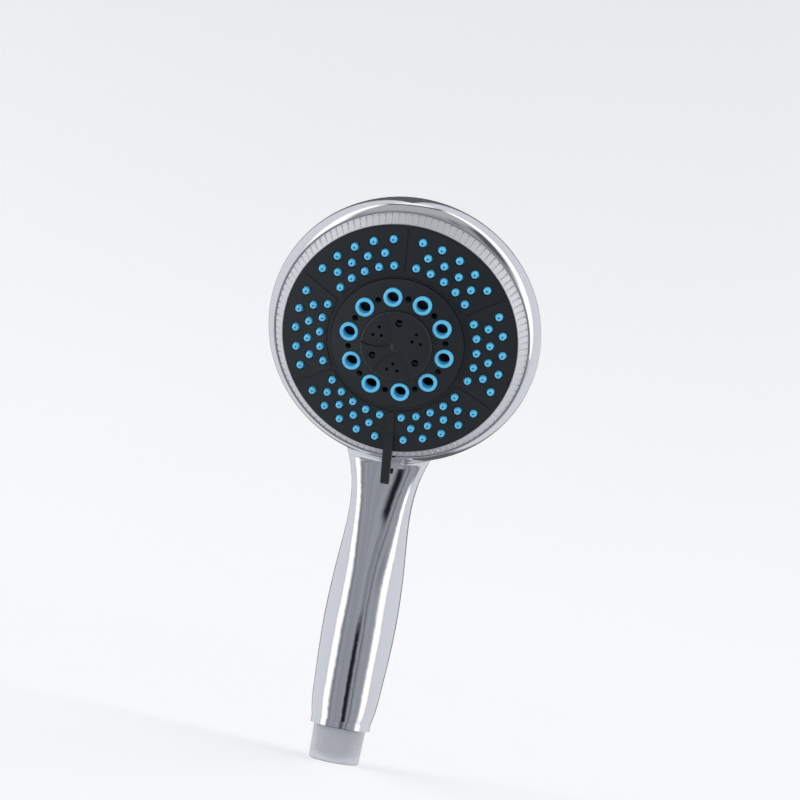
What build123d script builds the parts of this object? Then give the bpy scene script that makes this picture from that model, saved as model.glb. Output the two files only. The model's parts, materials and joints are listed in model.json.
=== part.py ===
from build123d import *
import math
import os

# Handheld shower head. Millimetres, +Z up the handle.
# Origin: centre of the end face of the hose thread. -Y is the side the water leaves, +X its right.
# Head parts are modelled about their own axis (local Z towards the user, lever and handle at -Y),
# then placed by HEAD (fixed parts) or SELECTOR (parts that follow the selector's index).

# ------------------------------------------------------------------ driving sizes
THREAD_R = 20.955 / 2          # G 1/2 crest radius
THREAD_PITCH = 25.4 / 14
THREAD_DEPTH = 1.162
THREAD_LENGTH = 13.2           # thread below the handle's end
HEAD_TILT = 26.0               # face normal below the horizontal
HEAD_CENTRE = (0, -56.3, 182.1)
HEAD_R = 60.0
WALL = 2.5
INDEX_TURN = 2.0               # the selector's middle click sits this far from the handle's plane
CLICK_ANGLE = 30.0
CLICKS = 7
RUNNING = 0.05                 # radial running clearance

# bowl and rim, head axes
RIM_MOUTH_R = 55.6
RIM_FRONT_Z = -6.8
RIM_WIDE_Z = -14.4
BOWL_BACK_Z = -34.0
RIM_ARC_R = 9.5
CORNER_R = 12.0                # between the rim and the domed back

# spray face, head axes
FACE_R = 51.3
FACE_EDGE_Z = -1.9
FACE_INNER_R = 30.0
FACE_INNER_Z = 1.75
PLATE_THICK = 2.0
MAT_THICK = 1.2
PANEL_RAISE = 0.35
PANEL_INNER_R = 31.2
PANEL_OUTER_R = 50.4
PANEL_GAP_ANGLE = 1.4
PANEL_CORNER_R = 1.6
SECTORS = 6
NOZZLE_ROWS = ((34.13, 5), (39.65, 4), (45.16, 5))
NOZZLE_STEP = 11.0
NOZZLE_R = 1.75
NOZZLE_RISE = 1.65
NOZZLE_BORE_R = 0.4
NOZZLE_TAPER = 0.25
NOZZLE_ROUND_R = 0.7
NOZZLE_CLEAR = 0.4
CENTER_R = 28.8
CENTER_EDGE_Z = 2.9
BUTTON_R = 15.6
BUTTON_EDGE_Z = 5.6
BUTTON_TOP_Z = 8.4
BUTTON_SHOULDER_Z = 7.45
BUTTON_SIDE_Z = 6.5
BUTTON_BASE_Z = 3.0
BUTTON_WALL = 1.8
MIST_Z = (1.6, 3.0)
HUB_DOME_R = 3.2
HUB_RISE = 0.55
PETAL_DEPTH = 0.75
PETAL_APEX_R = 1.9
PETAL_HALF_ANGLE = 30.0
PETAL_BOW_ANGLE = 9.0
PETAL_TIP_R = 1.6
JET_COUNT = 10
JET_CIRCLE_R = 21.1
JET_TURN = 279.5               # first ring nozzle; the lever is at 270
JET_R = 4.05
JET_BORE_R = 2.6
JET_RISE = 1.1
JET_CLEAR = 0.12
AIR_HOLE_R = 1.3
BUTTON_TURN = 86.8             # first arm of the centre button
GRIP_RIBS = 120
GRIP_GROOVE = 0.55             # side of the square that cuts each groove
GRIP_LIP = 0.5
GRIP_TOP_Z = -2.2
GRIP_LOW_Z = -6.9
GRIP_SKIRT_Z = -9.6
LEVER_TIP_R = 66.5
LEVER_W = 4.1
LEVER_PEGS = (36.5, 47.5)

# button holes: circle radius and hole radius
LARGE_HOLES = (10.8, 1.6)
SMALL_HOLE_R = 0.72
SMALL_HOLES_NEAR_R = 7.75
SMALL_HOLES_FAR = (10.95, 11.8)  # circle radius, angle to each side of the petal's middle

# lever outline, head axes: a low spine from SPINE_R, a raised bar from BAR_R
SPINE_R = 31.8
BAR_R = 42.6
SPINE_W = 3.0
BAR_ROOT_W = 3.6
PEG_R = 0.8

# turning water channels and fixed manifold, head axes
WATER_HOLE_R = 0.7             # feeds one small nozzle
ROTOR_BACK_Z = -14.0
ROTOR_R = 52.5
CHANNEL_FLOOR_Z = -12.0
CHANNEL_WALL = 1.6
JOINT_Z = -8.6                 # where rotor and channel plate meet
GASKET_THICK = 0.4
INNER_FLOOR_Z = -7.0
RING_WALL = (29.0, 31.0)
HUB_R = 8.0
POST_R = 5.0
POST_END_Z = -2.7
TURBINE_HUB_R = 13.5
PORT_PLATE_Z = (-17.0, -14.6)
MANIFOLD_R = 36.0
MANIFOLD_BACK_Z = -27.0
WATERWAY_Z = -21.7
PORT_CIRCLE_R = 20.0
PORT_R = 6.0
PORT_HOLE_R = 3.4
SCREW_CIRCLE_R = 40.0
SCREW_ANGLES = (90, 210, 330)
SCREW_R = 1.5
SCREW_LENGTH = 8.5
EAR_R = 3.5
EAR_THICK = 2.0
SMALL_SCREW_R = 1.1
SMALL_BOSS_R = 2.4
ROTOR_SCREW_CIRCLE_R = 26.3
STOP_W = 2.4                   # end stops inside the bowl
LUG_W = 3.0                    # the turning lug between them
STOP_GAP = 0.4                 # left between lug and stop at the last click
STOP_R = (49.2, 51.5)          # inner edge of the stops, outer edge of the lug
INDEX_RING = (46.0, 48.5)
INDEX_DEPTH = 2.5
NOTCH_R = 1.1
CLICK_NOSE_ANGLE = 32.0
LEAF_THICK = 0.5               # click spring
LEAF_LOW_Z = -16.6
LEAF_FOOT_ANGLE = 4.0
LEAF_ARM_R = 43.8
SEAL_BACK_Z = -17.6            # cup seal and its spring
SPRING_SEAT_Z = -22.5
SPRING_WIRE_R = 0.4
SPRING_COIL_R = 4.5
TURBINE_Z = (-4.6, -1.6)
TURBINE_R = 26.4
BLADES = 12

# water tube
TUBE_R = 4.5
TUBE_BORE_R = 3.3
TUBE_LOW_Z = 34.0
TUBE_BEND = 20.0               # tangent length of the bend
SEAL_SECTION_R = 0.6

# handle end, collar and connector
COLLAR_R = 13.4
COLLAR_LENGTH = 3.0
COLLAR_STEP = 0.1              # the handle starts this much narrower than its collar
CONNECTOR_R = 10.5
CONNECTOR_TOP_Z = 30.0
INLET_BORE_R = 7.0
INLET_BORE_TOP_Z = 23.0
SCREEN_Z = (1.6, 2.6)
SCREEN_PITCH = 1.75
SCREEN_HOLE_R = 0.55
SLEEVE_WALL = 0.6
SLEEVE_TOP_Z = 21.4
PLUG_ENDS = ((4.0, 8.0), (16.0, 18.0))  # heights of the regulator insert's two discs
PLUG_STEM_R = 2.6
PLUG_HOLE_R = 0.9
PLUG_HOLE_CIRCLE_R = 4.6
CAP_CLEARANCE = 0.1
CAP_BOTTOM_Z = -2.5
CAP_FLOOR = 1.3
CAP_BASE_R = 9.9               # flat of the cap's end, inside its rounded corner
CAP_LOW_R = 11.3
CAP_TOP_R = 11.6
CAP_BOSS = (6.5, 5.6, -0.5)    # ring on the cap's floor: outer radius, inner radius, top

HANDLE_END_Z = THREAD_LENGTH
LEVER_ANGLE = 270.0

# Handle sections: height, full width, full depth, centre's Y, lean towards the front, squareness.
# Squareness 2 is an ellipse; above it the section is boxier, with a flatter front.
HANDLE_SECTIONS = (
    (HANDLE_END_Z + COLLAR_LENGTH, 2 * COLLAR_R - COLLAR_STEP, 2 * COLLAR_R - COLLAR_STEP, 0.0, 0, 2.0),
    (22.0, 29.0, 29.2, 0.2, 0, 2.0),
    (32.0, 30.6, 32.4, 0.6, 0, 2.0),
    (46.0, 32.1, 35.6, 1.0, 0, 2.0),
    (60.0, 32.9, 37.8, 1.3, 0, 2.0),
    (74.0, 32.3, 37.2, 1.3, 0, 2.0),
    (87.0, 30.8, 33.0, 0.8, 0, 2.1),
    (99.0, 28.8, 27.6, -0.6, 4, 2.3),
    (111.0, 27.6, 23.6, -2.6, 10, 2.6),
    (121.0, 28.8, 21.6, -4.9, 15, 2.8),
    (131.0, 33.2, 20.4, -7.9, 21, 2.8),
    (140.0, 40.0, 19.6, -11.6, 26, 2.6),
    (150.4, 50.0, 18.6, -16.4, 26, 2.3),
    (162.1, 58.0, 15.0, -23.0, 26, 2.0),
)
SECTION_POINTS = 24

# bowl arcs: the rim's front arc, and a corner arc tangent to the spherical back
RIM_CENTRE_R = HEAD_R - RIM_ARC_R
RIM_ARC_END = math.asin((RIM_FRONT_Z - RIM_WIDE_Z) / RIM_ARC_R)
CORNER_CENTRE_R = HEAD_R - CORNER_R
bowl_deep = RIM_WIDE_Z - BOWL_BACK_Z
DOME_R = (CORNER_CENTRE_R ** 2 + bowl_deep ** 2 - CORNER_R ** 2) / (2 * (bowl_deep - CORNER_R))
DOME_CENTRE_Z = BOWL_BACK_Z + DOME_R
DOME_LEAN = math.degrees(math.atan2(DOME_CENTRE_Z - RIM_WIDE_Z, CORNER_CENTRE_R))

NECK_BLEND = 5.0               # fillet where the neck runs into the bowl
NECK_HEIGHTS = (132.0, 170.0)  # the joining edges lie between these heights

tilt = math.radians(HEAD_TILT)
HEAD = Plane(origin=HEAD_CENTRE, x_dir=(1, 0, 0), z_dir=(0, -math.cos(tilt), -math.sin(tilt))).location
SELECTOR = HEAD * Rot(0, 0, INDEX_TURN)


# ------------------------------------------------------------------ helpers
def lathe(*points):
    """A solid turned about Z from a closed outline of (radius, height) points."""
    return revolve(Plane.XZ * make_face(Polyline(*points, close=True)), Axis.Z)


def turned(*edges):
    """A solid turned about Z from a closed outline of edges drawn as (radius, height)."""
    return revolve(Plane.XZ * make_face(Curve() + list(edges)), Axis.Z)


def tube(outer, inner, low, high):
    """A round tube, or a disc when inner is 0, about Z."""
    solid = Pos(0, 0, low) * Cylinder(outer, high - low, align=(Align.CENTER, Align.CENTER, Align.MIN))
    if inner:
        solid -= Pos(0, 0, low) * Cylinder(inner, high - low, align=(Align.CENTER, Align.CENTER, Align.MIN))
    return solid


def polar(radius, angle, height=0.0):
    """The place at a radius and angle about Z."""
    turn = math.radians(angle)
    return Pos(radius * math.cos(turn), radius * math.sin(turn), height)


def spots(radius, angles, height=0.0):
    return [polar(radius, angle, height) for angle in angles]


def evenly(count, first=0.0):
    return [first + 360.0 * i / count for i in range(count)]


def block(size_x, size_y, low, high):
    """A box centred on Z between two heights."""
    return Pos(0, 0, low) * Box(size_x, size_y, high - low, align=(Align.CENTER, Align.CENTER, Align.MIN))


def radial_bar(angle, r_in, r_out, width, low, high):
    """A straight bar that runs outwards at an angle."""
    middle = (r_in + r_out) / 2
    return Rot(0, 0, angle) * Pos(middle, 0, 0) * block(r_out - r_in, width, low, high)


def o_ring(centre_r, section_r, height):
    return Pos(0, 0, height) * Torus(centre_r, section_r)


def face_z(radius):
    """Height of the front of the dark face at a radius."""
    slope = (FACE_INNER_Z - FACE_EDGE_Z) / (FACE_R - FACE_INNER_R)
    return FACE_INNER_Z - slope * (radius - FACE_INNER_R)


def center_z(radius):
    """Height of the front of the raised inner plate at a radius."""
    slope = (BUTTON_EDGE_Z - CENTER_EDGE_Z) / (CENTER_R - BUTTON_R)
    return CENTER_EDGE_Z + slope * (CENTER_R - radius)


def cone_layer(r_in, r_out, height_at, top_drop, thick):
    """A conical layer that follows a surface, its top a given drop below it."""
    return lathe(
        (r_in, height_at(r_in) - top_drop),
        (r_out, height_at(r_out) - top_drop),
        (r_out, height_at(r_out) - top_drop - thick),
        (r_in, height_at(r_in) - top_drop - thick),
    )


def nozzle_places():
    """Radius and angle of each small nozzle."""
    places = []
    for sector in range(SECTORS):
        middle = LEVER_ANGLE + 180.0 / SECTORS + 360.0 / SECTORS * sector
        for radius, count in NOZZLE_ROWS:
            for i in range(count):
                places.append((radius, middle + (i - (count - 1) / 2) * NOZZLE_STEP))
    return places


def jet_angles():
    return evenly(JET_COUNT, JET_TURN)


def air_hole_angles():
    return evenly(JET_COUNT, JET_TURN + 180.0 / JET_COUNT)


def click_angles():
    """Selector angles of the spray positions, the middle one at 0."""
    return [(i - (CLICKS - 1) / 2) * CLICK_ANGLE for i in range(CLICKS)]


# ------------------------------------------------------------------ body
def handle_section(half_width, half_depth, squareness):
    """Closed outline of the handle's section; its seam is at the back."""
    points = []
    for angle in evenly(SECTION_POINTS):
        across, along = math.sin(math.radians(angle)), math.cos(math.radians(angle))
        points.append((math.copysign(half_width * abs(across) ** (2 / squareness), across),
                       math.copysign(half_depth * abs(along) ** (2 / squareness), along)))
    return make_face(Spline(*points, periodic=True))


def handle_loft(inset, first):
    """The handle as a loft through its sections, each made smaller by inset all round."""
    rings = []
    for height, width, depth, centre_y, lean, squareness in HANDLE_SECTIONS[first:]:
        up = (0, -math.sin(math.radians(lean)), math.cos(math.radians(lean)))
        place = Plane(origin=(0, centre_y, height), x_dir=(1, 0, 0), z_dir=up)
        rings.append(place * handle_section(width / 2 - inset, depth / 2 - inset, squareness))
    return loft(rings)


def bowl_outer():
    """Rounded rim and domed back of the bowl, solid, in head axes."""
    edge_r = RIM_CENTRE_R + RIM_ARC_R * math.cos(RIM_ARC_END)
    return turned(
        Line((0, RIM_FRONT_Z), (edge_r, RIM_FRONT_Z)),
        CenterArc((RIM_CENTRE_R, RIM_WIDE_Z), RIM_ARC_R, 0, math.degrees(RIM_ARC_END)),
        CenterArc((CORNER_CENTRE_R, RIM_WIDE_Z), CORNER_R, -DOME_LEAN, DOME_LEAN),
        CenterArc((0, DOME_CENTRE_Z), DOME_R, -90, 90 - DOME_LEAN),
        Line((0, BOWL_BACK_Z), (0, RIM_FRONT_Z)),
    )


def bowl_cavity(wall):
    """Hollow of the bowl with the narrower mouth in front, in head axes."""
    cavity_r = HEAD_R - wall
    lip_z = RIM_FRONT_Z - 4.0
    shoulder_z = lip_z - (cavity_r - RIM_MOUTH_R)
    return turned(
        Line((0, 0), (RIM_MOUTH_R, 0)),
        Line((RIM_MOUTH_R, 0), (RIM_MOUTH_R, lip_z)),
        Line((RIM_MOUTH_R, lip_z), (cavity_r, shoulder_z)),
        Line((cavity_r, shoulder_z), (cavity_r, RIM_WIDE_Z)),
        CenterArc((CORNER_CENTRE_R, RIM_WIDE_Z), CORNER_R - wall, -DOME_LEAN, DOME_LEAN),
        CenterArc((0, DOME_CENTRE_Z), DOME_R - wall, -90, 90 - DOME_LEAN),
        Line((0, BOWL_BACK_Z + wall), (0, 0)),
    )


def body_shell():
    """Chrome handle and bowl with screw bosses and the selector's two end stops."""
    outside = HEAD * bowl_outer() + handle_loft(0.0, 0)
    neck_edges = [edge for edge in outside.edges()
                  if edge.geom_type == GeomType.BSPLINE
                  and NECK_HEIGHTS[0] < edge.center().Z < NECK_HEIGHTS[1]]
    outside = fillet(neck_edges, NECK_BLEND)
    outside += tube(COLLAR_R, 0, HANDLE_END_Z, HANDLE_END_Z + COLLAR_LENGTH)
    shell = outside - HEAD * bowl_cavity(WALL)
    shell -= handle_loft(WALL, 2)
    shell -= tube(CONNECTOR_R, 0, HANDLE_END_Z, HANDLE_SECTIONS[2][0] + 1)

    deep = BOWL_BACK_Z + 1.0
    screw_places = spots(SCREW_CIRCLE_R, SCREW_ANGLES)
    bosses = [place * tube(EAR_R, 0, deep, PORT_PLATE_Z[0] - EAR_THICK) for place in screw_places]
    stops = [radial_bar(LEVER_ANGLE + side * stop_angle(), STOP_R[0], HEAD_R - 1.5, STOP_W,
                        deep, ROTOR_BACK_Z - 1.2)
             for side in (-1, 1)]
    inside = (Part() + bosses + stops) & bowl_cavity(WALL / 2)
    inside -= [place * tube(SCREW_R + 0.02, 0, deep + 7.0, 0) for place in screw_places]
    return shell + SELECTOR * inside


def stop_angle():
    """How far from the lever's angle the end stops stand."""
    travel = CLICK_ANGLE * (CLICKS - 1) / 2
    contact_r = (STOP_R[0] + STOP_R[1]) / 2 - 0.35
    return travel + math.degrees((LUG_W / 2 + STOP_W / 2 + STOP_GAP) / contact_r)


# ------------------------------------------------------------------ inlet, regulator and cap
def thread_core():
    """Helical ridge of the pipe thread, ready to fuse to its core."""
    root = THREAD_R - THREAD_DEPTH
    turns_high = THREAD_LENGTH - 3.0
    path = Helix(THREAD_PITCH, turns_high, root, center=(0, 0, 1.4))
    half_base = THREAD_PITCH * 0.44
    half_tip = THREAD_PITCH * 0.11
    section = Plane(origin=path @ 0, x_dir=(1, 0, 0), z_dir=path % 0) * Polygon(
        (-0.2, -half_base), (THREAD_DEPTH, -half_tip), (THREAD_DEPTH, half_tip), (-0.2, half_base),
        align=None,
    )
    return sweep(section, path=path, is_frenet=True)


def inlet_connector():
    """Threaded hose inlet; its upper socket takes the water tube."""
    root = THREAD_R - THREAD_DEPTH
    socket_r = TUBE_R + 1.7
    shoulder_z = TUBE_LOW_Z - 2 * SEAL_SECTION_R
    core = lathe(
        (0, 0), (root - 0.4, 0), (root, 0.4), (root, HANDLE_END_Z), (CONNECTOR_R, HANDLE_END_Z),
        (CONNECTOR_R, CONNECTOR_TOP_Z), (socket_r, CONNECTOR_TOP_Z + 1.5),
        (socket_r, TUBE_LOW_Z + 8.0), (0, TUBE_LOW_Z + 8.0),
    )
    core += thread_core()
    core -= tube(INLET_BORE_R, 0, 0, INLET_BORE_TOP_Z)
    core -= tube(TUBE_BORE_R, 0, INLET_BORE_TOP_Z, shoulder_z)
    core -= tube(TUBE_R, 0, shoulder_z, TUBE_LOW_Z + 8.0)
    return core


def connector_oring():
    return o_ring(TUBE_R - SEAL_SECTION_R, SEAL_SECTION_R, TUBE_LOW_Z - SEAL_SECTION_R)


def flow_sleeve():
    """Metal sleeve of the flow regulator, open both ends."""
    sleeve = tube(INLET_BORE_R, INLET_BORE_R - SLEEVE_WALL, SCREEN_Z[1], SLEEVE_TOP_Z)
    return sleeve + tube(INLET_BORE_R, INLET_BORE_R - 1.6, SLEEVE_TOP_Z - 0.8, SLEEVE_TOP_Z)


def flow_insert():
    """Regulator insert: a cross-slotted plug with a stem and metering holes."""
    plug_low, plug_high = PLUG_ENDS[0][0], PLUG_ENDS[1][1]
    insert = tube(PLUG_STEM_R, 0, plug_low, plug_high)
    for low, high in PLUG_ENDS:
        insert += tube(INLET_BORE_R - SLEEVE_WALL, 0, low, high)
        insert -= [place * tube(PLUG_HOLE_R, 0, low, high)
                   for place in spots(PLUG_HOLE_CIRCLE_R, evenly(8))]
    return insert - block(5.0, 1.0, plug_low, plug_low + 1.0)


def flow_oring():
    return o_ring(INLET_BORE_R - 0.8, 0.8, 22.2)


def inlet_screen():
    """Perforated filter disc across the inlet."""
    low, high = SCREEN_Z
    holes = [Pos(0, 0, low)]
    for ring in (1, 2, 3):
        holes += spots(SCREEN_PITCH * ring, evenly(6 * ring), low)
    disc = tube(INLET_BORE_R, 0, low, high)
    return disc - [place * tube(SCREEN_HOLE_R, 0, 0, high - low) for place in holes]


def thread_cap():
    """Soft protective cap pushed over the thread, with a low ring on its floor."""
    inner_r = THREAD_R + CAP_CLEARANCE
    top_z = HANDLE_END_Z - 0.4
    floor_z = CAP_BOTTOM_Z + CAP_FLOOR
    corner_z = CAP_BOTTOM_Z + 1.5
    outer = turned(
        Line((0, CAP_BOTTOM_Z), (CAP_BASE_R, CAP_BOTTOM_Z)),
        ThreePointArc((CAP_BASE_R, CAP_BOTTOM_Z), (CAP_LOW_R - 0.4, CAP_BOTTOM_Z + 0.45),
                      (CAP_LOW_R, corner_z)),
        Line((CAP_LOW_R, corner_z), (CAP_TOP_R, top_z)),
        Line((CAP_TOP_R, top_z), (0, top_z)),
        Line((0, top_z), (0, CAP_BOTTOM_Z)),
    )
    boss_out, boss_in, boss_top = CAP_BOSS
    return outer - tube(inner_r, 0, floor_z, top_z) + tube(boss_out, boss_in, floor_z, boss_top)


# ------------------------------------------------------------------ water tube
def tube_path():
    """Straight up the handle, one bend, then straight into the manifold."""
    end = HEAD * Pos(0, -(MANIFOLD_R + 2.0), WATERWAY_Z)
    end_point = end.position
    lean = math.radians(HEAD_TILT)
    corner_z = end_point.Z - abs(end_point.Y) / math.tan(lean)
    radius = TUBE_BEND / math.tan(lean / 2)
    return FilletPolyline((0, 0, TUBE_LOW_Z), (0, 0, corner_z), end_point, radius=radius)


def water_tube():
    path = tube_path()
    section = Plane(origin=path @ 0, z_dir=path % 0) * (Circle(TUBE_R) - Circle(TUBE_BORE_R))
    return sweep(section, path=path)


def tube_oring():
    """O-ring between the tube's upper end and the manifold's socket."""
    place = HEAD * Pos(0, -(MANIFOLD_R + 2.0 - SEAL_SECTION_R), WATERWAY_Z) * Rot(90, 0, 0)
    return place * Torus(TUBE_R - SEAL_SECTION_R, SEAL_SECTION_R)


# ------------------------------------------------------------------ fixed manifold (head axes)
def inlet_bore(radius, y_from, y_to):
    """A cylinder along the water tube's line through the manifold's wall."""
    length = y_to - y_from
    return Pos(0, (y_from + y_to) / 2, WATERWAY_Z) * Rot(90, 0, 0) * Cylinder(radius, length)


def manifold():
    """Rear chamber with a socket for the water tube and three screw ears."""
    cup = lathe(
        (0, MANIFOLD_BACK_Z), (MANIFOLD_R - 3.0, MANIFOLD_BACK_Z), (MANIFOLD_R, MANIFOLD_BACK_Z + 3.0),
        (MANIFOLD_R, PORT_PLATE_Z[0]), (0, PORT_PLATE_Z[0]),
    )
    chamber = lathe(
        (0, MANIFOLD_BACK_Z + 1.8), (MANIFOLD_R - 4.0, MANIFOLD_BACK_Z + 1.8),
        (MANIFOLD_R - 2.0, MANIFOLD_BACK_Z + 4.0), (MANIFOLD_R - 2.0, PORT_PLATE_Z[0]),
        (0, PORT_PLATE_Z[0]),
    )
    socket_end = -(MANIFOLD_R + 8.0)
    body = cup + inlet_bore(TUBE_R + 1.3, socket_end, -(MANIFOLD_R - 6.0))
    body -= chamber
    body -= tube(MANIFOLD_R, 0, PORT_PLATE_Z[0], 0)
    body -= inlet_bore(TUBE_BORE_R, -(MANIFOLD_R + 0.8), -(MANIFOLD_R - 8.0))
    body -= inlet_bore(TUBE_R, socket_end, -(MANIFOLD_R + 0.8))
    ear_low, ear_high = PORT_PLATE_Z[0] - EAR_THICK, PORT_PLATE_Z[0]
    ears = Part()
    for angle in SCREW_ANGLES:
        ears += radial_bar(angle, MANIFOLD_R - 1.5, SCREW_CIRCLE_R, 2 * EAR_R, ear_low, ear_high)
        ears += polar(SCREW_CIRCLE_R, angle) * tube(EAR_R, 0, ear_low, ear_high)
    ears -= [place * tube(SCREW_R, 0, ear_low, ear_high) for place in spots(SCREW_CIRCLE_R, SCREW_ANGLES)]
    ears -= chamber
    return SELECTOR * (turned_to_selector(body) + ears)


def turned_to_selector(shape):
    """A shape drawn in head axes, turned so that SELECTOR places it where HEAD would."""
    return Rot(0, 0, -INDEX_TURN) * shape


def port_plate():
    """Front plate of the chamber with the outlet port, pivot post and click-spring seat."""
    low, high = PORT_PLATE_Z
    port = polar(PORT_CIRCLE_R, 90)
    plate = tube(MANIFOLD_R, 0, low, high) + tube(POST_R, 0, high, POST_END_Z)
    plate += port * tube(PORT_R + 1.5, 0, SPRING_SEAT_Z - 1.0, low)
    plate += radial_bar(LEAF_FOOT_ANGLE, MANIFOLD_R - 2, LEAF_ARM_R - 0.8, 9.0, low, high)
    plate -= port * tube(PORT_R, 0, SPRING_SEAT_Z, high)
    plate -= port * tube(3.0, 0, SPRING_SEAT_Z - 1.0, SPRING_SEAT_Z)
    windows = [Rot(0, 0, a) * Pos(PORT_R + 1, 0, 0) * block(6, 3.0, SPRING_SEAT_Z + 1.0, low - 1.5)
               for a in evenly(4, 45)]
    plate -= port * (Part() + windows)
    plate -= tube(2.0, 0, POST_END_Z - 10.0, POST_END_Z)
    plate -= tube(POST_R, POST_R - 1.2, -10.7, -9.3)
    plate -= click_foot()
    return SELECTOR * plate


def port_seal():
    """Rubber cup that the spring holds against the turning plate."""
    seal = tube(PORT_R - 0.1, PORT_HOLE_R, SEAL_BACK_Z, SEAL_BACK_Z + 2.0)
    seal += tube(PORT_R - 0.1, 4.6, SEAL_BACK_Z + 2.0, ROTOR_BACK_Z - RUNNING)
    return SELECTOR * polar(PORT_CIRCLE_R, 90) * seal


def port_spring():
    """Coil spring under the cup seal."""
    low = SPRING_SEAT_Z + SPRING_WIRE_R
    high = SEAL_BACK_Z - SPRING_WIRE_R
    coils = 3.5
    path = Helix((high - low) / coils, high - low, SPRING_COIL_R, center=(0, 0, low))
    section = Plane(origin=path @ 0, z_dir=path % 0) * Circle(SPRING_WIRE_R)
    return SELECTOR * polar(PORT_CIRCLE_R, 90) * sweep(section, path=path, is_frenet=True)


def manifold_screws():
    """Three screws that clamp the manifold's ears to the bowl's bosses."""
    seat = PORT_PLATE_Z[0]
    screw = tube(SCREW_R, 0, seat - SCREW_LENGTH, seat) + tube(2.8, 0, seat, seat + 1.6)
    screw -= block(3.6, 0.8, seat + 0.8, seat + 1.6)
    return Compound(children=[SELECTOR * place * screw for place in spots(SCREW_CIRCLE_R, SCREW_ANGLES)])


def click_foot():
    """The part of the click spring that is seated in the port plate."""
    foot = block(4.0, LEAF_THICK, LEAF_LOW_Z, PORT_PLATE_Z[1])
    return Rot(0, 0, LEAF_FOOT_ANGLE) * Pos(LEAF_ARM_R - 2.8, 0, 0) * foot


def click_spring():
    """Leaf spring: foot in the plate, arm along the index ring, nose in one of its notches."""
    foot = click_foot()
    heel = block(1.0, LEAF_THICK, LEAF_LOW_Z, PORT_PLATE_Z[1])
    foot += Rot(0, 0, LEAF_FOOT_ANGLE) * Pos(LEAF_ARM_R - 0.5, 0, 0) * heel
    first = LEAF_FOOT_ANGLE - 0.3
    nose_half = 2.5
    last = CLICK_NOSE_ANGLE - nose_half
    start, middle, end = (polar(LEAF_ARM_R, a).position for a in (first, (first + last) / 2, last))
    tip = polar(INDEX_RING[0] + 0.2, CLICK_NOSE_ANGLE).position
    back = polar(LEAF_ARM_R, CLICK_NOSE_ANGLE + nose_half).position
    line = Curve() + [ThreePointArc(start, middle, end), Line(end, tip), Line(tip, back)]
    arm = extrude(trace(line, line_width=LEAF_THICK), amount=PORT_PLATE_Z[1] - LEAF_LOW_Z)
    return SELECTOR * (foot + Pos(0, 0, LEAF_LOW_Z) * arm)


def pivot_washer():
    return SELECTOR * tube(7.4, 2.0, POST_END_Z, POST_END_Z + 1.0)


def pivot_screw():
    """Cross-slot screw down the middle of the post."""
    seat = POST_END_Z + 1.0
    screw = tube(2.0, 0, POST_END_Z - 10.0, seat) + tube(4.0, 0, seat, seat + 2.2)
    screw -= block(5.0, 1.0, seat + 1.0, seat + 2.2) + block(1.0, 5.0, seat + 1.0, seat + 2.2)
    return SELECTOR * screw


def pivot_oring():
    return SELECTOR * o_ring(POST_R - 0.62, 0.58, -10.0)


# ------------------------------------------------------------------ turning channels
def rotor():
    """Turning rear plate: ports, channel walls, hub, index ring and stop lug."""
    wall_top = JOINT_Z - GASKET_THICK
    plate = tube(ROTOR_R, 0, ROTOR_BACK_Z, CHANNEL_FLOOR_Z)
    plate += tube(ROTOR_R, ROTOR_R - 2.0, CHANNEL_FLOOR_Z, wall_top)
    plate += tube(RING_WALL[1], RING_WALL[0], CHANNEL_FLOOR_Z, INNER_FLOOR_Z)
    plate += tube(HUB_R, 0, CHANNEL_FLOOR_Z, POST_END_Z - 0.35)
    for angle in evenly(SECTORS, LEVER_ANGLE):
        plate += radial_bar(angle, RING_WALL[1] - 0.5, ROTOR_R - 1.5, CHANNEL_WALL,
                            CHANNEL_FLOOR_Z, wall_top)
    plate += tube(*reversed(INDEX_RING), ROTOR_BACK_Z - INDEX_DEPTH, ROTOR_BACK_Z)
    index_low = ROTOR_BACK_Z - INDEX_DEPTH
    plate += radial_bar(LEVER_ANGLE, INDEX_RING[1] - 0.5, STOP_R[1], LUG_W, index_low, ROTOR_BACK_Z)
    notches = [polar(INDEX_RING[0], CLICK_NOSE_ANGLE + a) * tube(NOTCH_R, 0, index_low, ROTOR_BACK_Z)
               for a in click_angles()]
    ports = [polar(PORT_CIRCLE_R, 90 + a) * tube(PORT_HOLE_R, 0, ROTOR_BACK_Z, CHANNEL_FLOOR_Z)
             for a in click_angles()[:-1]]
    screw_holes = [place * tube(SMALL_SCREW_R, 0, ROTOR_BACK_Z, INNER_FLOOR_Z)
                   for place in rotor_screw_places()]
    plate += [place * tube(SMALL_BOSS_R, 0, CHANNEL_FLOOR_Z, INNER_FLOOR_Z)
              for place in rotor_screw_places()]
    plate -= notches + ports + screw_holes
    plate -= tube(POST_R + RUNNING, 0, ROTOR_BACK_Z, POST_END_Z)
    return SELECTOR * plate


def rotor_screw_places():
    return spots(ROTOR_SCREW_CIRCLE_R, evenly(6, 0))


def channel_gasket():
    return SELECTOR * tube(ROTOR_R - 0.2, ROTOR_R - 1.8, JOINT_Z - GASKET_THICK, JOINT_Z)


def layer_back(radius):
    """Underside of the nozzle mat: the top of the channel plate."""
    return face_z(radius) - PLATE_THICK - MAT_THICK


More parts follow.
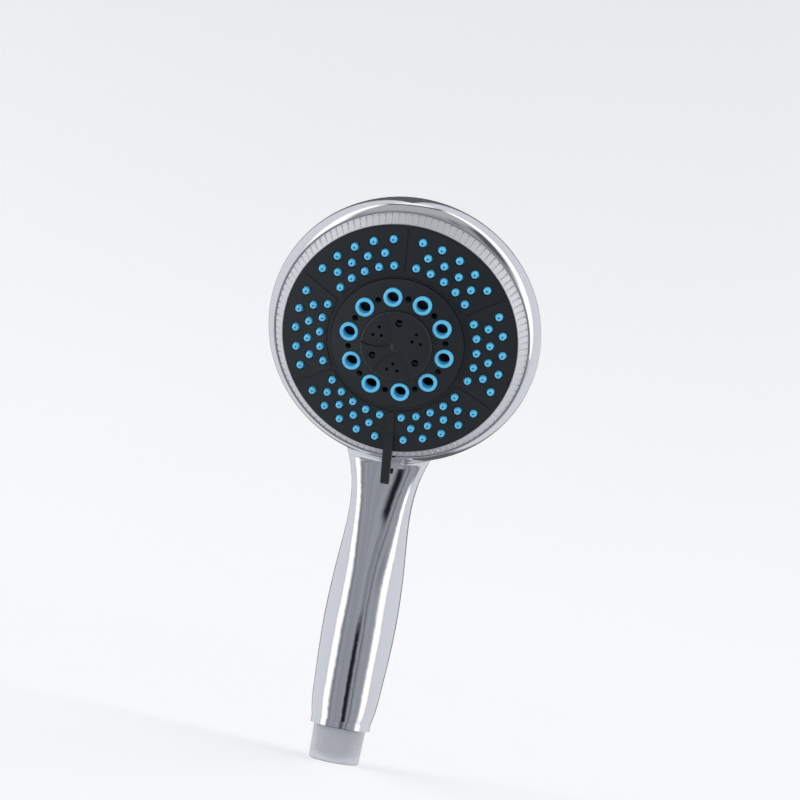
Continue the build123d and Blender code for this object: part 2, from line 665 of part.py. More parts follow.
def channel_plate():
    """Front half of the channels: cone under the nozzle mat, turbine well and hub wall."""
    ring_in, ring_out = RING_WALL
    well_floor = INNER_FLOOR_Z + 2.0
    plate = cone_layer(ring_out - 0.5, ROTOR_R, layer_back, 0.0, PLATE_THICK)
    plate += lathe((ROTOR_R - 2.0, layer_back(ROTOR_R) - 1.0), (ROTOR_R, layer_back(ROTOR_R) - 1.0),
                   (ROTOR_R, JOINT_Z), (ROTOR_R - 2.0, JOINT_Z))
    plate += lathe((ring_in, INNER_FLOOR_Z), (ring_out, INNER_FLOOR_Z), (ring_out, layer_back(ring_out)),
                   (ring_in, layer_back(ring_in)))
    plate += tube(ring_in + 0.5, HUB_R, INNER_FLOOR_Z, well_floor)
    plate += tube(TURBINE_HUB_R, TURBINE_HUB_R - 1.5, well_floor, 1.0)
    plate -= [polar(radius, angle) * tube(WATER_HOLE_R, 0, JOINT_Z, FACE_INNER_Z)
              for radius, angle in nozzle_places()]
    feeds = [Rot(0, 0, a) * Pos(20.0, 0, 0) * Rot(0, 0, 50) * block(6.0, 1.6, INNER_FLOOR_Z, well_floor)
             for a in evenly(6, 30)]
    slots = [place * tube(1.3, 0, INNER_FLOOR_Z, well_floor) for place in spots(10.0, evenly(6, 0))]
    screw_holes = [place * tube(SMALL_SCREW_R, 0, INNER_FLOOR_Z, well_floor)
                   for place in rotor_screw_places()]
    return SELECTOR * (plate - feeds - slots - screw_holes)


def rotor_screws():
    """Six screws from behind that pull the rotor and the channel plate together."""
    shank = tube(SMALL_SCREW_R, 0, ROTOR_BACK_Z + 0.6, INNER_FLOOR_Z + 1.8)
    return Compound(children=[SELECTOR * place * shank for place in rotor_screw_places()])


def turbine():
    """Massage turbine: hub ring, slanted blades and a shutter over half the jets."""
    low, high = TURBINE_Z
    wheel_r = TURBINE_R
    wheel = tube(TURBINE_HUB_R + 2.0, TURBINE_HUB_R + RUNNING, low, high)
    for angle in evenly(BLADES):
        blade = Pos(20.5, 0, 0) * Rot(0, 0, 18) * block(10.6, 0.9, low, high - 0.8)
        wheel += Rot(0, 0, angle) * blade
    shutter = tube(wheel_r, TURBINE_HUB_R + 1.0, high - 0.8, high)
    shutter -= Pos(0, -wheel_r, 0) * block(3 * wheel_r, 2 * wheel_r, high - 0.8, high)
    wheel += shutter
    wheel &= tube(wheel_r, TURBINE_HUB_R + RUNNING, low, high)
    return SELECTOR * wheel


# ------------------------------------------------------------------ spray face
def small_nozzle(radius):
    """One silicone nozzle with a rounded tip, from under the mat to above the face."""
    base = face_z(radius) - PLATE_THICK - MAT_THICK * 0.6
    tip = face_z(radius) + NOZZLE_RISE
    tip_r = NOZZLE_R - NOZZLE_TAPER
    round_r = NOZZLE_ROUND_R
    return turned(
        Line((0, base), (NOZZLE_R, base)),
        Line((NOZZLE_R, base), (tip_r, tip - round_r)),
        ThreePointArc((tip_r, tip - round_r), (tip_r - 0.2, tip - 0.2), (tip_r - round_r, tip)),
        Line((tip_r - round_r, tip), (0, tip)),
        Line((0, tip), (0, base)),
    )


def nozzle_mat():
    """Silicone mat behind the face with its small nozzles."""
    mat = cone_layer(RING_WALL[0], FACE_R, face_z, PLATE_THICK, MAT_THICK)
    shapes = {radius: small_nozzle(radius) for radius, _ in NOZZLE_ROWS}
    mat += [polar(radius, angle) * shapes[radius] for radius, angle in nozzle_places()]
    mat -= [polar(radius, angle) * tube(NOZZLE_BORE_R, 0, -8, 5) for radius, angle in nozzle_places()]
    return SELECTOR * mat


def sector_panel(angle):
    """Outline of one raised sector panel with rounded corners."""
    half = 180.0 / SECTORS - PANEL_GAP_ANGLE / 2
    corners = [polar(radius, angle + side * half).position
               for radius, side in ((PANEL_INNER_R, -1), (PANEL_OUTER_R, -1),
                                    (PANEL_OUTER_R, 1), (PANEL_INNER_R, 1))]
    outer_mid = polar(PANEL_OUTER_R, angle).position
    inner_mid = polar(PANEL_INNER_R, angle).position
    panel = make_face(Curve() + [
        Line(corners[0], corners[1]),
        ThreePointArc(corners[1], outer_mid, corners[2]),
        Line(corners[2], corners[3]),
        ThreePointArc(corners[3], inner_mid, corners[0]),
    ])
    return fillet(panel.vertices(), PANEL_CORNER_R)


def face_plate():
    """Dark annular face: six raised sector panels and a clear hole round each nozzle."""
    inner_r = CENTER_R + 0.2
    base = cone_layer(inner_r, FACE_R, face_z, PANEL_RAISE, PLATE_THICK - PANEL_RAISE)
    lip = lathe((inner_r, face_z(inner_r) - PANEL_RAISE), (inner_r, FACE_INNER_Z + 0.3),
                (inner_r + 0.5, FACE_INNER_Z + 0.3), (inner_r + 0.8, face_z(inner_r + 0.8) - PANEL_RAISE))
    layer = cone_layer(inner_r, FACE_R, face_z, 0.0, PANEL_RAISE + 0.1)
    prisms = [extrude(Pos(0, 0, -5) * sector_panel(angle), amount=10)
              for angle in evenly(SECTORS, LEVER_ANGLE + 180.0 / SECTORS)]
    plate = base + lip
    for prism in prisms:
        plate += layer & prism
    plate -= [polar(radius, angle) * tube(NOZZLE_R + NOZZLE_CLEAR, 0, -8, 5)
              for radius, angle in nozzle_places()]
    plate -= [polar(radius, LEVER_ANGLE) * tube(PEG_R, 0, -8, 5) for radius in LEVER_PEGS]
    return SELECTOR * plate


def center_plate():
    """Raised inner plate with holes for the ring nozzles and the small jets."""
    plate = cone_layer(BUTTON_R + 0.1, CENTER_R, center_z, 0.0, PLATE_THICK)
    plate += tube(CENTER_R, CENTER_R - 1.6, layer_back(RING_WALL[0]) + 0.3, CENTER_EDGE_Z - 1.0)
    plate -= [place * tube(JET_R + JET_CLEAR, 0, 0, 9) for place in spots(JET_CIRCLE_R, jet_angles())]
    plate -= [place * tube(AIR_HOLE_R, 0, 0, 9) for place in spots(JET_CIRCLE_R, air_hole_angles())]
    return SELECTOR * plate


def ring_nozzle():
    """One wide silicone nozzle: a rounded ring that stands out of the inner plate."""
    low = center_z(JET_CIRCLE_R) - PLATE_THICK - MAT_THICK * 0.4
    tip = center_z(JET_CIRCLE_R) + JET_RISE
    wall = JET_R - JET_BORE_R
    edge = wall * 0.36
    return turned(
        Line((JET_BORE_R, low), (JET_R, low)),
        Line((JET_R, low), (JET_R, tip - edge)),
        ThreePointArc((JET_R, tip - edge), (JET_R - 0.3 * edge, tip - 0.3 * edge), (JET_R - edge, tip)),
        Line((JET_R - edge, tip), (JET_BORE_R + edge, tip)),
        ThreePointArc((JET_BORE_R + edge, tip), (JET_BORE_R + 0.3 * edge, tip - 0.3 * edge),
                      (JET_BORE_R, tip - edge)),
        Line((JET_BORE_R, tip - edge), (JET_BORE_R, low)),
    )


def ring_nozzle_mat():
    """Silicone mat under the inner plate with ten ring nozzles."""
    mat = cone_layer(BUTTON_R + 0.6, CENTER_R - 1.6, center_z, PLATE_THICK, MAT_THICK)
    mat -= [place * tube(JET_BORE_R, 0, -2, 9) for place in spots(JET_CIRCLE_R, jet_angles())]
    mat += [place * ring_nozzle() for place in spots(JET_CIRCLE_R, jet_angles())]
    mat -= [place * tube(AIR_HOLE_R + 0.3, 0, -2, 9) for place in spots(JET_CIRCLE_R, air_hole_angles())]
    return SELECTOR * mat


def button_dome(drop):
    """Solid dome of the centre button, lowered by drop: a rounded edge and a spherical top."""
    top, shoulder, side = BUTTON_TOP_Z - drop, BUTTON_SHOULDER_Z - drop, BUTTON_SIDE_Z - drop
    low = BUTTON_BASE_Z
    shoulder_r = BUTTON_R - 0.8
    rise = top - shoulder
    sphere_r = (shoulder_r ** 2 + rise ** 2) / (2 * rise)
    lean = math.degrees(math.asin(shoulder_r / sphere_r))
    return turned(
        Line((0, low), (BUTTON_R, low)),
        Line((BUTTON_R, low), (BUTTON_R, side)),
        ThreePointArc((BUTTON_R, side), (BUTTON_R - 0.25, side + 0.65), (shoulder_r, shoulder)),
        CenterArc((0, top - sphere_r), sphere_r, 90 - lean, lean),
        Line((0, top), (0, low)),
    )


def petal(angle):
    """Outline of one sunken petal between two arms of the button's relief, with bowed sides."""
    reach = BUTTON_R + 2.0
    apex = polar(PETAL_APEX_R, angle).position
    corners = [polar(reach, angle + side * PETAL_HALF_ANGLE).position for side in (-1, 1)]
    bows = [polar(reach * 0.5, angle + side * (PETAL_HALF_ANGLE + PETAL_BOW_ANGLE)).position
            for side in (-1, 1)]
    face = make_face(Curve() + [
        ThreePointArc(apex, bows[0], corners[0]),
        ThreePointArc(corners[0], polar(reach, angle).position, corners[1]),
        ThreePointArc(corners[1], bows[1], apex),
    ])
    point = face.vertices().sort_by_distance((0, 0, 0))[0]
    return fillet(point, PETAL_TIP_R)


def center_button():
    """Domed centre cap: hub, three arms, three sunken petals, three large and nine small holes."""
    button = button_dome(0.0)
    lowered = button_dome(PETAL_DEPTH)
    for angle in evenly(3, BUTTON_TURN + 60):
        button -= extrude(petal(angle), amount=20) - lowered
    hub = Pos(0, 0, BUTTON_TOP_Z + HUB_RISE - HUB_DOME_R) * Sphere(HUB_DOME_R)
    button += hub & tube(HUB_DOME_R, 0, BUTTON_TOP_Z - 1.5, BUTTON_TOP_Z + HUB_RISE)
    inner_r = BUTTON_R - BUTTON_WALL
    button -= lathe((0, 0), (inner_r, 0), (inner_r, 4.6), (0, 5.6))
    large = spots(LARGE_HOLES[0], evenly(3, BUTTON_TURN))
    small = spots(SMALL_HOLES_NEAR_R, evenly(3, BUTTON_TURN + 60))
    for side in (-1, 1):
        small += spots(SMALL_HOLES_FAR[0], evenly(3, BUTTON_TURN + 60 + side * SMALL_HOLES_FAR[1]))
    button -= [place * tube(LARGE_HOLES[1], 0, 0, 12) for place in large]
    button -= [place * tube(SMALL_HOLE_R, 0, 0, 12) for place in small]
    return SELECTOR * button


def mist_insert():
    """Swirl disc inside the centre button."""
    low, high = MIST_Z
    disc = tube(BUTTON_R - BUTTON_WALL, 0, low, high) - tube(5.0, 0, low, high - 0.6)
    disc -= [place * tube(LARGE_HOLES[1], 0, 0, 4)
             for place in spots(LARGE_HOLES[0], evenly(3, BUTTON_TURN))]
    for angle in evenly(3, BUTTON_TURN + 60):
        disc -= Rot(0, 0, angle) * Pos(9.3, 0, 0) * Rot(0, 0, 35) * block(6.0, 1.2, low, high)
    return SELECTOR * disc


def grip_ring():
    """Conical ring round the face, with shallow ribs between two smooth lips."""
    top_r, top_z = FACE_R + 0.3, GRIP_TOP_Z
    low_r, low_z = RIM_MOUTH_R - 0.2, GRIP_LOW_Z
    ring = lathe((FACE_R, top_z), (top_r, top_z), (low_r, low_z), (low_r, GRIP_SKIRT_Z),
                 (ROTOR_R, GRIP_SKIRT_Z),
                 (ROTOR_R, layer_back(ROTOR_R)), (FACE_R, layer_back(FACE_R)))
    slant = math.degrees(math.atan2(top_z - low_z, low_r - top_r))
    length = math.hypot(low_r - top_r, top_z - low_z) - 2 * GRIP_LIP
    middle = Pos((top_r + low_r) / 2, 0, (top_z + low_z) / 2) * Rot(0, slant, 0)
    groove = middle * Rot(45, 0, 0) * Box(length, GRIP_GROOVE, GRIP_GROOVE)
    ring -= [Rot(0, 0, angle) * groove for angle in evenly(GRIP_RIBS)]
    return SELECTOR * ring


def selector_lever():
    """Lever: a low spine on the face, then a raised bar out over the ribbed ring."""
    outline = make_face(Polyline(
        (-SPINE_R, face_z(SPINE_R)),
        (-SPINE_R - 0.6, face_z(SPINE_R) + 0.5),
        (-BAR_R, face_z(BAR_R) + 0.7),
        (-BAR_R - 0.8, face_z(BAR_R) + 1.6),
        (-LEVER_TIP_R + 1.2, 0.6),
        (-LEVER_TIP_R, -0.4),
        (-LEVER_TIP_R + 0.4, -2.0),
        (-FACE_R - 0.3, GRIP_TOP_Z),
        (-FACE_R, face_z(FACE_R)),
        close=True,
    ))
    side = extrude(Plane.YZ * outline, amount=LEVER_W / 2, both=True)
    edge = [(SPINE_W / 2, -SPINE_R), (BAR_ROOT_W / 2, -BAR_R), (LEVER_W / 2, -BAR_R - 1.2),
            (LEVER_W / 2 - 0.2, -LEVER_TIP_R)]
    plan = make_face(Polyline(*edge, *[(-x, y) for x, y in reversed(edge)], close=True))
    lever = side & extrude(Pos(0, 0, -10) * plan, amount=20)
    for radius in LEVER_PEGS:
        top = face_z(radius)
        lever += polar(radius, LEVER_ANGLE) * tube(PEG_R, 0, top - PLATE_THICK + 0.4, top + 0.3)
    return SELECTOR * lever


# ------------------------------------------------------------------ write every node
NODES = (
    body_shell, inlet_connector, connector_oring, flow_sleeve, flow_insert, flow_oring, inlet_screen,
    thread_cap, water_tube, tube_oring, manifold, port_plate, port_seal, port_spring, manifold_screws,
    click_spring, pivot_washer, pivot_screw, pivot_oring, rotor, channel_gasket, channel_plate,
    rotor_screws, turbine, nozzle_mat, face_plate, center_plate, ring_nozzle_mat, center_button,
    mist_insert, grip_ring, selector_lever,
)


def main():
    os.makedirs("parts", exist_ok=True)
    for build in NODES:
        export_step(build(), f"parts/{build.__name__}.step")


main()
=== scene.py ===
import json
import math

import bpy
from mathutils import Matrix, Vector


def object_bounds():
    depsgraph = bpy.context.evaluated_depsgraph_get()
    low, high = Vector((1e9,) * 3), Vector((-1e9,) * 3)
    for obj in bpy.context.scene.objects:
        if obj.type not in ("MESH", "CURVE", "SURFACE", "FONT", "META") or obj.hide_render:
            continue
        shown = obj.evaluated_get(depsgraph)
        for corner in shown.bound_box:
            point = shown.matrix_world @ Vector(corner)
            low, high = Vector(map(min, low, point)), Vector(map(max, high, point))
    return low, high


# A handheld shower head: materials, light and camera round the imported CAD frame.
# Everything is in metres: +Z runs up the handle, the water leaves towards -Y.

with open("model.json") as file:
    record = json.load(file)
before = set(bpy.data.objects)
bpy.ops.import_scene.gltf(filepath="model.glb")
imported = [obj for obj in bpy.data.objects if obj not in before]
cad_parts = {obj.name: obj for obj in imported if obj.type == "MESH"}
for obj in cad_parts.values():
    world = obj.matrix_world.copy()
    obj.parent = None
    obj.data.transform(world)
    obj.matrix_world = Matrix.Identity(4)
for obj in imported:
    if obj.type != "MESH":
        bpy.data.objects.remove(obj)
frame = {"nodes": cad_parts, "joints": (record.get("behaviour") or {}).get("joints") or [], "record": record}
CAD_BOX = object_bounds()

NODES = frame["nodes"]
RECORD = frame["record"]
SLOT_OF = {part["node"]: part["material_slot"] for part in RECORD["subparts"]}
TURN = next(j for j in frame["joints"] if j["name"] == "selector_turn")
HEAD = Vector(TURN["pos_m"])      # middle of the spray face


# ---------------------------------------------------------------- node helpers
NOISE_LOW, NOISE_HIGH = 0.25, 0.75    # where most of a noise's values lie
MIX_LOW, MIX_HIGH, MIX_RESULT = 6, 7, 2    # the colour sockets of a mix node


class Nodes:
    """A material's node tree, with one Principled shader and short calls for what feeds it."""

    def __init__(self, name, **inputs):
        self.material = bpy.data.materials.new(name)
        self.material.use_nodes = True
        self.tree = self.material.node_tree
        self.shader = self.tree.nodes["Principled BSDF"]
        for socket, value in inputs.items():
            self.shader.inputs[socket.replace("_", " ")].default_value = value
        self.place = self.add("ShaderNodeTexCoord").outputs["Object"]

    def add(self, kind, links=None, values=None, **settings):
        node = self.tree.nodes.new(kind)
        for key, value in settings.items():
            setattr(node, key, value)
        for socket, value in (values or {}).items():
            node.inputs[socket].default_value = value
        for socket, source in (links or {}).items():
            self.tree.links.new(source, node.inputs[socket])
        return node

    def noise(self, size, detail=3.0, place=None):
        """Noise with features about size metres across."""
        node = self.add("ShaderNodeTexNoise", {"Vector": place or self.place},
                        {"Scale": 1.0 / size, "Detail": detail})
        return node.outputs["Fac"]

    def stretched(self, scale):
        """The place, squeezed by a factor along each axis."""
        node = self.add("ShaderNodeMapping", {"Vector": self.place})
        node.inputs["Scale"].default_value = scale
        return node.outputs["Vector"]

    def span(self, source, low, high):
        """Maps a noise to a range."""
        node = self.add("ShaderNodeMapRange", {"Value": source},
                        {"From Min": NOISE_LOW, "From Max": NOISE_HIGH, "To Min": low, "To Max": high})
        return node.outputs["Result"]

    def blend(self, factor, low, high):
        """A colour between two colours."""
        node = self.add("ShaderNodeMix", {0: factor}, data_type="RGBA")
        node.inputs[MIX_LOW].default_value = (*low, 1.0)
        node.inputs[MIX_HIGH].default_value = (*high, 1.0)
        return node.outputs[MIX_RESULT]

    def feed(self, socket, source):
        self.tree.links.new(source, self.shader.inputs[socket])

    def bump(self, height, depth, under=None):
        """Adds relief depth metres deep, on top of any relief given as under."""
        links = {"Height": height}
        if under:
            links["Normal"] = under
        node = self.add("ShaderNodeBump", links, {"Distance": depth})
        self.tree.links.new(node.outputs["Normal"], self.shader.inputs["Normal"])
        return node.outputs["Normal"]


# ---------------------------------------------------------------- materials
def chrome():
    m = Nodes("chrome", Metallic=1.0)
    m.feed("Base Color", m.blend(m.noise(0.03), (0.80, 0.81, 0.835), (0.86, 0.865, 0.885)))
    m.feed("Roughness", m.span(m.noise(0.012, 5.0), 0.025, 0.065))
    m.bump(m.noise(0.02, 1.0), 0.000005)
    return m.material


def ring_chrome():
    m = Nodes("ring_chrome", Metallic=1.0)
    m.feed("Base Color", m.blend(m.noise(0.01), (0.82, 0.825, 0.84), (0.88, 0.885, 0.90)))
    m.feed("Roughness", m.span(m.noise(0.0012, 4.0), 0.48, 0.58))
    m.bump(m.noise(0.0006, 3.0), 0.000012)
    return m.material


def dark_plastic():
    m = Nodes("dark_plastic")
    m.feed("Base Color", m.blend(m.noise(0.02, 4.0), (0.013, 0.016, 0.019), (0.019, 0.023, 0.026)))
    m.feed("Roughness", m.span(m.noise(0.0009, 5.0), 0.30, 0.42))
    grain = m.bump(m.noise(0.00035, 3.0), 0.00001)
    m.bump(m.noise(0.015, 1.0), 0.00006, under=grain)
    return m.material


def blue_silicone():
    m = Nodes("blue_silicone", Subsurface_Weight=0.25, Subsurface_Scale=0.0008)
    m.shader.inputs["Subsurface Radius"].default_value = (0.3, 0.7, 1.0)
    m.feed("Base Color", m.blend(m.noise(0.002, 3.0), (0.13, 0.61, 0.99), (0.17, 0.68, 1.0)))
    m.feed("Roughness", m.span(m.noise(0.0008, 4.0), 0.28, 0.42))
    m.bump(m.noise(0.0005, 2.0), 0.00001)
    return m.material


def cap_plastic():
    m = Nodes("cap_plastic", Transmission_Weight=0.71, IOR=1.35)
    m.feed("Base Color", m.blend(m.noise(0.004, 3.0), (0.90, 0.91, 0.94), (0.95, 0.96, 0.98)))
    m.feed("Roughness", m.span(m.noise(0.001, 4.0), 0.27, 0.36))
    m.bump(m.noise(0.0008, 2.0), 0.00002)
    return m.material


def moulded(name, low, high, smooth, rough):
    m = Nodes(name)
    m.feed("Base Color", m.blend(m.noise(0.006, 4.0), low, high))
    m.feed("Roughness", m.span(m.noise(0.0008, 4.0), smooth, rough))
    m.bump(m.noise(0.0005, 3.0), 0.00001)
    return m.material


def steel():
    m = Nodes("steel", Metallic=1.0)
    lines = m.noise(0.0004, 4.0, m.stretched((1.0, 1.0, 0.05)))
    m.feed("Base Color", m.blend(lines, (0.52, 0.52, 0.54), (0.68, 0.68, 0.69)))
    m.feed("Roughness", m.span(lines, 0.22, 0.38))
    m.bump(lines, 0.000008)
    return m.material


MATERIALS = {
    "chrome": chrome(),
    "ring_chrome": ring_chrome(),
    "dark_plastic": dark_plastic(),
    "blue_silicone": blue_silicone(),
    "cap_plastic": cap_plastic(),
    "grey_plastic": moulded("grey_plastic", (0.24, 0.27, 0.32), (0.30, 0.33, 0.39), 0.30, 0.45),
    "white_plastic": moulded("white_plastic", (0.72, 0.72, 0.70), (0.80, 0.80, 0.78), 0.32, 0.48),
    "green_plastic": moulded("green_plastic", (0.06, 0.42, 0.14), (0.09, 0.52, 0.19), 0.15, 0.28),
    "steel": steel(),
    "black_rubber": moulded("black_rubber", (0.014, 0.014, 0.015), (0.026, 0.026, 0.027), 0.50, 0.70),
}
for name, node in NODES.items():
    for place in node.material_slots:
        place.material = MATERIALS[SLOT_OF[name]]

# ---------------------------------------------------------------- camera
VIEW_AZIMUTH = 6.27      # degrees to the object's right of straight in front
VIEW_ELEVATION = -5.34   # the camera looks slightly up
VIEW_ROLL = 10.74
VIEW_DISTANCE = 0.866
LENS = 90.8              # mm
SENSOR_WIDTH = 36.0      # mm
AIM = HEAD + Vector((0.0051, 0.0030, -0.0243))


def direction(azimuth, elevation):
    """Unit vector from the object: azimuth 0 is the front (-Y), 90 the right (+X)."""
    a, e = math.radians(azimuth), math.radians(elevation)
    return Vector((math.sin(a) * math.cos(e), -math.cos(a) * math.cos(e), math.sin(e)))


def facing(back, roll=0.0):
    """A turn whose Z is back, and whose Y is as near up as it can be before the roll."""
    return back.to_track_quat("Z", "Y").to_matrix() @ Matrix.Rotation(math.radians(roll), 3, "Z")


STUDIO = facing(direction(VIEW_AZIMUTH, VIEW_ELEVATION), VIEW_ROLL)  # the lights stand square to this

lens = bpy.data.cameras.new("camera")
lens.lens = LENS
lens.sensor_width = SENSOR_WIDTH
camera = bpy.data.objects.new("camera", lens)
camera.matrix_world = Matrix.Translation(AIM + VIEW_DISTANCE * STUDIO.col[2]) @ STUDIO.to_4x4()
bpy.context.scene.collection.objects.link(camera)
bpy.context.scene.camera = camera
bpy.context.scene.view_settings.view_transform = "Standard"


# ---------------------------------------------------------------- stage
FLOOR_Z = CAD_BOX[0][2]
COVE_R, COVE_BEND, COVE_TOP = 3.0, 1.6, 4.0
COVE_RINGS = 6           # rings of faces in the flat part


def cove(name, segments=96, steps=24):
    """A round floor that curves up into a wall all round."""
    flat = COVE_R - COVE_BEND
    profile = [(flat * i / COVE_RINGS, 0.0) for i in range(1, COVE_RINGS + 1)]
    for i in range(1, steps + 1):
        angle = math.pi / 2 * i / steps
        profile.append((flat + COVE_BEND * math.sin(angle), COVE_BEND * (1 - math.cos(angle))))
    profile.append((COVE_R, COVE_TOP))
    turns = [2 * math.pi * k / segments for k in range(segments)]
    verts = [(0.0, 0.0, FLOOR_Z)]
    verts += [(r * math.cos(t), r * math.sin(t), FLOOR_Z + z) for r, z in profile for t in turns]
    faces = [(0, 1 + k, 1 + (k + 1) % segments) for k in range(segments)]
    for ring in range(len(profile) - 1):
        low, high = 1 + ring * segments, 1 + (ring + 1) * segments
        for k in range(segments):
            after = (k + 1) % segments
            faces.append((low + k, high + k, high + after, low + after))
    mesh = bpy.data.meshes.new(name)
    mesh.from_pydata(verts, [], faces)
    mesh.shade_smooth()
    thing = bpy.data.objects.new(name, mesh)
    bpy.context.scene.collection.objects.link(thing)
    return thing


paper = Nodes("paper", Emission_Color=(1.0, 1.0, 1.0, 1.0), Emission_Strength=0.40)
paper.feed("Base Color", paper.blend(paper.noise(0.4), (0.90, 0.90, 0.90), (0.92, 0.92, 0.92)))
paper.feed("Roughness", paper.span(paper.noise(0.05), 0.75, 0.9))
floor = cove("floor")
floor.data.materials.append(paper.material)
floor.visible_glossy = False    # the plating mirrors the studio, not the floor
floor.visible_diffuse = False
floor.visible_shadow = False


# ---------------------------------------------------------------- light
BOX_AZIMUTH = 71.0       # each side box stands this far round from the camera
BOX_RISE = 0.1
BOX_DISTANCE = 0.9
BOX_SIZE = (0.45, 1.7)
BOX_RADIANCE = 1.2
FRONT_RISE = 0.45        # the box over the camera
FRONT_DISTANCE = 1.2
FRONT_SIZE = (0.8, 0.8)
FRONT_RADIANCE = 2.4

# the walls as the plating mirrors them: colours are radiance, angles are degrees in the studio
ROOM = (0.33, 0.345, 0.375)
STREAK = (0.24, 0.25, 0.28)
STREAK_SCALE = 4.0
STREAK_RANGE = (0.45, 0.62)
CEILING = (0.44, 0.45, 0.47)
CEILING_EDGE = (40.0, 50.0)
TOP_GAP = (0.03, 0.03, 0.035)
TOP_LIGHT = (1.1, 1.1, 1.12)
TOP_LIGHT_EDGE = (76.0, 80.0)
TENT = (0.70, 0.72, 0.765)
TENT_EDGE = (78.0, 92.0)
PANEL = (1.45, 1.46, 1.49)
BACK = (0.12, 0.12, 0.13)
BACK_EDGE = (152.0, 166.0)
DARK_LINE = (0.16, 0.165, 0.175)
DARK_SIDE = (0.10, 0.105, 0.115)
DARK_SIDE_RISE = (0.0, 22.0)
CAMERA_SPOT = (0.015, 0.015, 0.02)
# each band: low edge, high edge, half the width of its soft edge
DARK_LINE_BAND = (20.0, 23.0, 2.0)
DARK_SIDE_BAND = (38.0, 56.0, 5.0)
TOP_GAP_BAND = (71.0, 75.0, 1.5)
CAMERA_SPOT_ACROSS = (-6.0, 9.0, 4.5)
CAMERA_SPOT_UP = (-32.0, 2.0, 6.0)
PANEL_ACROSS = (60.0, 82.0, 8.0)
PANEL_UP = (-34.0, 72.0, 8.0)


def softbox(name, azimuth, rise, distance, size, radiance):
    """An upright area light, square to the studio: azimuth 0 is the camera's side, 90 the right."""
    a = math.radians(azimuth)
    out = Vector((math.sin(a), 0.0, math.cos(a)))
    up = Vector((0.0, 1.0, 0.0))
    data = bpy.data.lights.new(name, "AREA")
    data.shape = "RECTANGLE"
    data.size, data.size_y = size
    data.energy = radiance * math.pi * size[0] * size[1]
    lamp = bpy.data.objects.new(name, data)
    turn = STUDIO @ Matrix((up.cross(out), up, out)).transposed()
    spot = HEAD + STUDIO @ (distance * out + rise * up)
    lamp.matrix_world = Matrix.Translation(spot) @ turn.to_4x4()
    lamp.visible_camera = False
    lamp.visible_glossy = False     # the plating mirrors the soft-edged panels of the walls instead
    lamp.light_linking.receiver_collection = NOT_FLOOR
    bpy.context.scene.collection.objects.link(lamp)


# what the lamps leave out: the floor has its own glow
NOT_FLOOR = bpy.data.collections.new("not_floor")
NOT_FLOOR.objects.link(floor)
NOT_FLOOR.collection_objects[0].light_linking.link_state = "EXCLUDE"


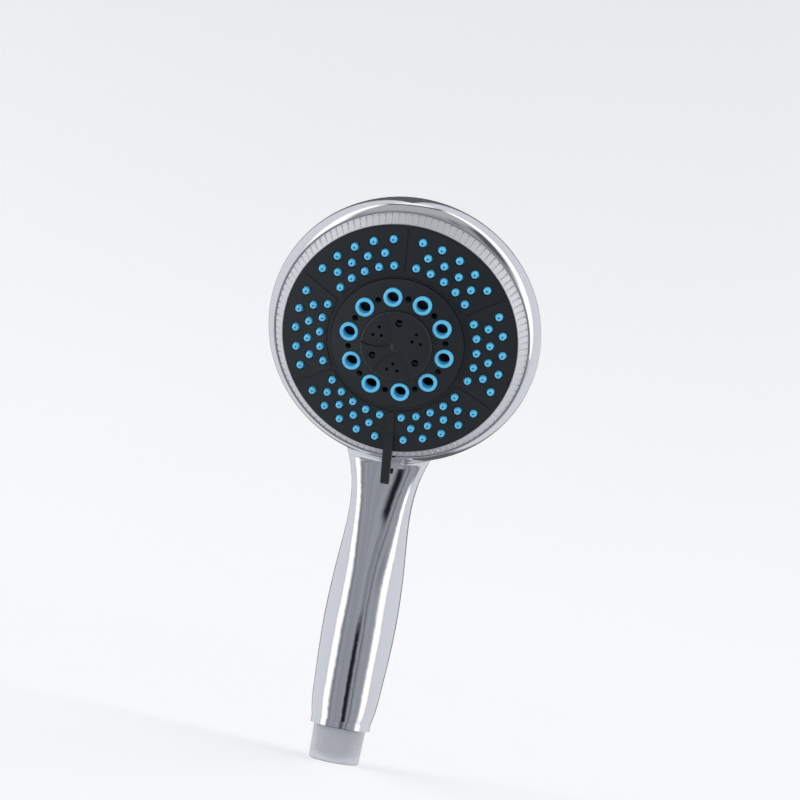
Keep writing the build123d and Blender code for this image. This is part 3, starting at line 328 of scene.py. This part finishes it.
def walls(tree):
    """The grey room behind the camera, a bright panel each side, the pale tent and the dark gaps."""

    def node(kind, values=(), links=(), **settings):
        made = tree.nodes.new(kind)
        for key, value in settings.items():
            setattr(made, key, value)
        for socket, value in values:
            made.inputs[socket].default_value = value
        for socket, source in links:
            tree.links.new(source, made.inputs[socket])
        return made

    def along(axis):
        return node("ShaderNodeVectorMath", [(1, tuple(axis))], [(0, way)],
                    operation="DOT_PRODUCT").outputs["Value"]

    def maths(operation, first, second=None):
        links = [(0, first)] + ([(1, second)] if hasattr(second, "is_output") else [])
        values = [] if second is None or hasattr(second, "is_output") else [(1, second)]
        return node("ShaderNodeMath", values, links, operation=operation).outputs[0]

    def rise(source, low, high):
        """0 below low degrees, 1 above high, smooth between."""
        return node("ShaderNodeMapRange",
                    [("From Min", math.radians(low)), ("From Max", math.radians(high))],
                    [("Value", source)], interpolation_type="SMOOTHSTEP").outputs["Result"]

    def both(first, second):
        return maths("MULTIPLY", first, second)

    def band(source, low, high, soft):
        """1 between low and high degrees."""
        return both(rise(source, low - soft, low + soft),
                    maths("SUBTRACT", one, rise(source, high - soft, high + soft)))

    def paint(under, colour, where):
        """under, turned to the colour where the last is 1."""
        made = node("ShaderNodeMix", [(MIX_HIGH, (*colour, 1.0))], [(0, where), (MIX_LOW, under)],
                    data_type="RGBA")
        return made.outputs[MIX_RESULT]

    way = node("ShaderNodeTexCoord").outputs["Generated"]
    one = node("ShaderNodeValue").outputs[0]
    one.default_value = 1.0
    azimuth = maths("ARCTAN2", along(STUDIO.col[0]), along(STUDIO.col[2]))
    elevation = maths("ARCSINE", along(STUDIO.col[1]))
    aside = maths("ABSOLUTE", azimuth)

    room = node("ShaderNodeRGB").outputs[0]
    room.default_value = (*ROOM, 1.0)
    streaks = node("ShaderNodeTexNoise", [("Scale", STREAK_SCALE), ("Detail", 1.0)], [("W", azimuth)],
                   noise_dimensions="1D").outputs["Fac"]
    streaky = node("ShaderNodeMapRange", [("From Min", STREAK_RANGE[0]), ("From Max", STREAK_RANGE[1])],
                   [("Value", streaks)]).outputs["Result"]
    room = paint(room, STREAK, streaky)
    room = paint(room, DARK_LINE, band(azimuth, *DARK_LINE_BAND))
    room = paint(room, DARK_SIDE, both(band(azimuth, *DARK_SIDE_BAND), rise(elevation, *DARK_SIDE_RISE)))
    room = paint(room, CEILING, rise(elevation, *CEILING_EDGE))
    room = paint(room, TOP_GAP, band(elevation, *TOP_GAP_BAND))
    room = paint(room, TOP_LIGHT, rise(elevation, *TOP_LIGHT_EDGE))
    room = paint(room, CAMERA_SPOT,
                 both(band(azimuth, *CAMERA_SPOT_ACROSS), band(elevation, *CAMERA_SPOT_UP)))
    room = paint(room, TENT, rise(aside, *TENT_EDGE))
    room = paint(room, PANEL, both(band(aside, *PANEL_ACROSS), band(elevation, *PANEL_UP)))
    room = paint(room, BACK, rise(aside, *BACK_EDGE))
    tree.links.new(room, tree.nodes["Background"].inputs["Color"])


for name, azimuth in (("left_box", -BOX_AZIMUTH), ("right_box", BOX_AZIMUTH)):
    softbox(name, azimuth, BOX_RISE, BOX_DISTANCE, BOX_SIZE, BOX_RADIANCE)
softbox("front_box", 0.0, FRONT_RISE, FRONT_DISTANCE, FRONT_SIZE, FRONT_RADIANCE)

world = bpy.data.worlds.new("studio")
bpy.context.scene.world = world
world.use_nodes = True
walls(world.node_tree)
